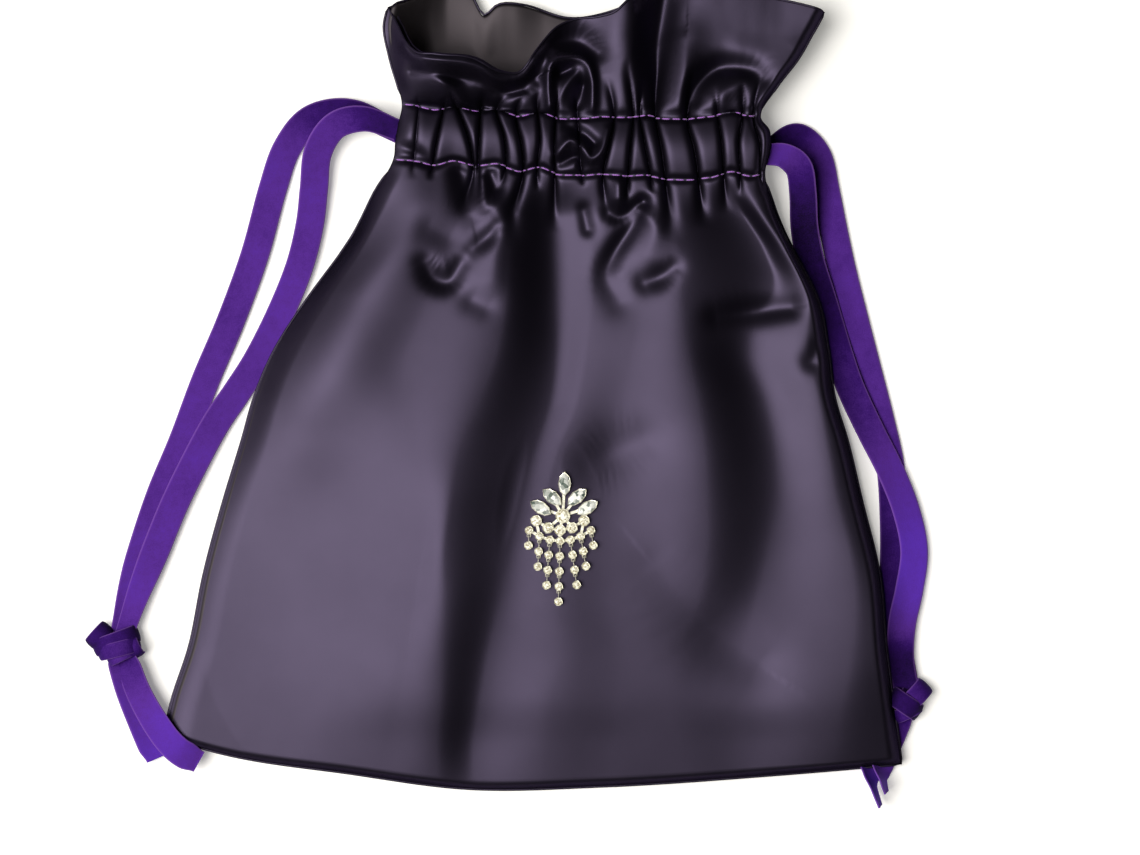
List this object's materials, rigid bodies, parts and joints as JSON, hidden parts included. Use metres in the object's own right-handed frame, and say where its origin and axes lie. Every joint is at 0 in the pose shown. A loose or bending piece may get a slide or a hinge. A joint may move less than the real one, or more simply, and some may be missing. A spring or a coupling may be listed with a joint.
{
  "type": "drawstring gift pouch",
  "caption": "Lined satin gift pouch lying flat, gathered at the neck by two velvet ribbon drawstrings, with a rhinestone brooch and hanging fringe on its front.",
  "frame": {"origin": "on the face the pouch lies on, under the middle of its body", "axes": "+X to the right seen from the front, +Y from the bottom seam towards the mouth, +Z out of the front"},
  "size_m": [0.2822, 0.2709, 0.0239],
  "materials": {
    "satin": "satin",
    "lining": "matt",
    "velvet_ribbon": "velvet",
    "thread": "satin",
    "setting": "polished",
    "rhinestone": "polished"
  },
  "bodies": {
    "pouch": {"front_panel": "satin", "back_panel": "satin", "front_lining": "lining", "back_lining": "lining", "upper_casing_stitching": "thread", "lower_casing_stitching": "thread", "brooch_frame": "setting", "centre_stone": "rhinestone", "navette_top": "rhinestone", "navette_upper_left": "rhinestone", "navette_upper_right": "rhinestone", "navette_lower_left": "rhinestone", "navette_lower_right": "rhinestone", "upper_arc_stone_1": "rhinestone", "upper_arc_stone_2": "rhinestone", "upper_arc_stone_3": "rhinestone", "upper_arc_stone_4": "rhinestone", "upper_arc_stone_5": "rhinestone", "lower_arc_stone_1": "rhinestone", "lower_arc_stone_2": "rhinestone", "lower_arc_stone_3": "rhinestone", "lower_arc_stone_4": "rhinestone", "lower_arc_stone_5": "rhinestone", "lower_arc_stone_6": "rhinestone", "lower_arc_stone_7": "rhinestone"},
    "left_drawstring": {"left_drawstring": "velvet_ribbon"},
    "right_drawstring": {"right_drawstring": "velvet_ribbon"},
    "fringe_1_1": {"fringe_cup_1_1": "setting", "fringe_stone_1_1": "rhinestone"},
    "fringe_2_1": {"fringe_cup_2_1": "setting", "fringe_stone_2_1": "rhinestone"},
    "fringe_2_2": {"fringe_cup_2_2": "setting", "fringe_stone_2_2": "rhinestone"},
    "fringe_3_1": {"fringe_cup_3_1": "setting", "fringe_stone_3_1": "rhinestone"},
    "fringe_3_2": {"fringe_cup_3_2": "setting", "fringe_stone_3_2": "rhinestone"},
    "fringe_3_3": {"fringe_cup_3_3": "setting", "fringe_stone_3_3": "rhinestone"},
    "fringe_4_1": {"fringe_cup_4_1": "setting", "fringe_stone_4_1": "rhinestone"},
    "fringe_4_2": {"fringe_cup_4_2": "setting", "fringe_stone_4_2": "rhinestone"},
    "fringe_4_3": {"fringe_cup_4_3": "setting", "fringe_stone_4_3": "rhinestone"},
    "fringe_4_4": {"fringe_cup_4_4": "setting", "fringe_stone_4_4": "rhinestone"},
    "fringe_5_1": {"fringe_cup_5_1": "setting", "fringe_stone_5_1": "rhinestone"},
    "fringe_5_2": {"fringe_cup_5_2": "setting", "fringe_stone_5_2": "rhinestone"},
    "fringe_5_3": {"fringe_cup_5_3": "setting", "fringe_stone_5_3": "rhinestone"},
    "fringe_6_1": {"fringe_cup_6_1": "setting", "fringe_stone_6_1": "rhinestone"},
    "fringe_6_2": {"fringe_cup_6_2": "setting", "fringe_stone_6_2": "rhinestone"},
    "fringe_7_1": {"fringe_cup_7_1": "setting", "fringe_stone_7_1": "rhinestone"}
  },
  "joints": [
    {"name": "left_drawstring_pull", "type": "slide", "parent": "pouch", "child": "left_drawstring", "axis": [-1, 0, 0], "range_m": [0, 0.03], "deforming": ["front_lining", "back_lining"]},
    {"name": "right_drawstring_pull", "type": "slide", "parent": "pouch", "child": "right_drawstring", "axis": [1, 0, 0], "range_m": [0, 0.03], "deforming": ["front_lining", "back_lining"]},
    {"name": "fringe_1_1_swing", "type": "hinge", "parent": "pouch", "child": "fringe_1_1", "pos_m": [-0.00361, -0.02191, 0.01545], "axis": [-0.9986, 0.0523, 0], "range_deg": [0, 75]},
    {"name": "fringe_2_1_swing", "type": "hinge", "parent": "pouch", "child": "fringe_2_1", "pos_m": [-0.00021, -0.02387, 0.01545], "axis": [-0.9986, 0.0523, 0], "range_deg": [0, 75]},
    {"name": "fringe_2_2_swing", "type": "hinge", "parent": "fringe_2_1", "child": "fringe_2_2", "pos_m": [-0.00047, -0.02887, 0.01545], "axis": [-0.9986, 0.0523, 0], "range_deg": [0, 30]},
    {"name": "fringe_3_1_swing", "type": "hinge", "parent": "pouch", "child": "fringe_3_1", "pos_m": [0.00315, -0.02505, 0.01545], "axis": [-0.9976, 0.0698, 0], "range_deg": [0, 75]},
    {"name": "fringe_3_2_swing", "type": "hinge", "parent": "fringe_3_1", "child": "fringe_3_2", "pos_m": [0.0028, -0.03004, 0.01545], "axis": [-0.9976, 0.0698, 0], "range_deg": [0, 30]},
    {"name": "fringe_3_3_swing", "type": "hinge", "parent": "fringe_3_2", "child": "fringe_3_3", "pos_m": [0.00245, -0.03503, 0.01545], "axis": [-0.9976, 0.0698, 0], "range_deg": [0, 30]},
    {"name": "fringe_4_1_swing", "type": "hinge", "parent": "pouch", "child": "fringe_4_1", "pos_m": [0.00664, -0.02545, 0.01545], "axis": [-0.9997, 0.0262, 0], "range_deg": [0, 75]},
    {"name": "fringe_4_2_swing", "type": "hinge", "parent": "fringe_4_1", "child": "fringe_4_2", "pos_m": [0.00651, -0.03045, 0.01545], "axis": [-0.9997, 0.0262, 0], "range_deg": [0, 30]},
    {"name": "fringe_4_3_swing", "type": "hinge", "parent": "fringe_4_2", "child": "fringe_4_3", "pos_m": [0.00638, -0.03545, 0.01545], "axis": [-0.9997, 0.0262, 0], "range_deg": [0, 30]},
    {"name": "fringe_4_4_swing", "type": "hinge", "parent": "fringe_4_3", "child": "fringe_4_4", "pos_m": [0.00625, -0.04044, 0.01545], "axis": [-0.9997, 0.0262, 0], "range_deg": [0, 30]},
    {"name": "fringe_5_1_swing", "type": "hinge", "parent": "pouch", "child": "fringe_5_1", "pos_m": [0.0104, -0.02504, 0.01545], "axis": [-0.9903, -0.1392, 0], "range_deg": [0, 75]},
    {"name": "fringe_5_2_swing", "type": "hinge", "parent": "fringe_5_1", "child": "fringe_5_2", "pos_m": [0.0111, -0.02999, 0.01545], "axis": [-0.9903, -0.1392, 0], "range_deg": [0, 30]},
    {"name": "fringe_5_3_swing", "type": "hinge", "parent": "fringe_5_2", "child": "fringe_5_3", "pos_m": [0.01179, -0.03494, 0.01545], "axis": [-0.9903, -0.1392, 0], "range_deg": [0, 30]},
    {"name": "fringe_6_1_swing", "type": "hinge", "parent": "pouch", "child": "fringe_6_1", "pos_m": [0.01387, -0.02385, 0.01545], "axis": [-0.9848, -0.1736, 0], "range_deg": [0, 75]},
    {"name": "fringe_6_2_swing", "type": "hinge", "parent": "fringe_6_1", "child": "fringe_6_2", "pos_m": [0.01474, -0.02877, 0.01545], "axis": [-0.9848, -0.1736, 0], "range_deg": [0, 30]},
    {"name": "fringe_7_1_swing", "type": "hinge", "parent": "pouch", "child": "fringe_7_1", "pos_m": [0.01724, -0.02189, 0.01545], "axis": [-0.9877, -0.1564, 0], "range_deg": [0, 75]}
  ]
}
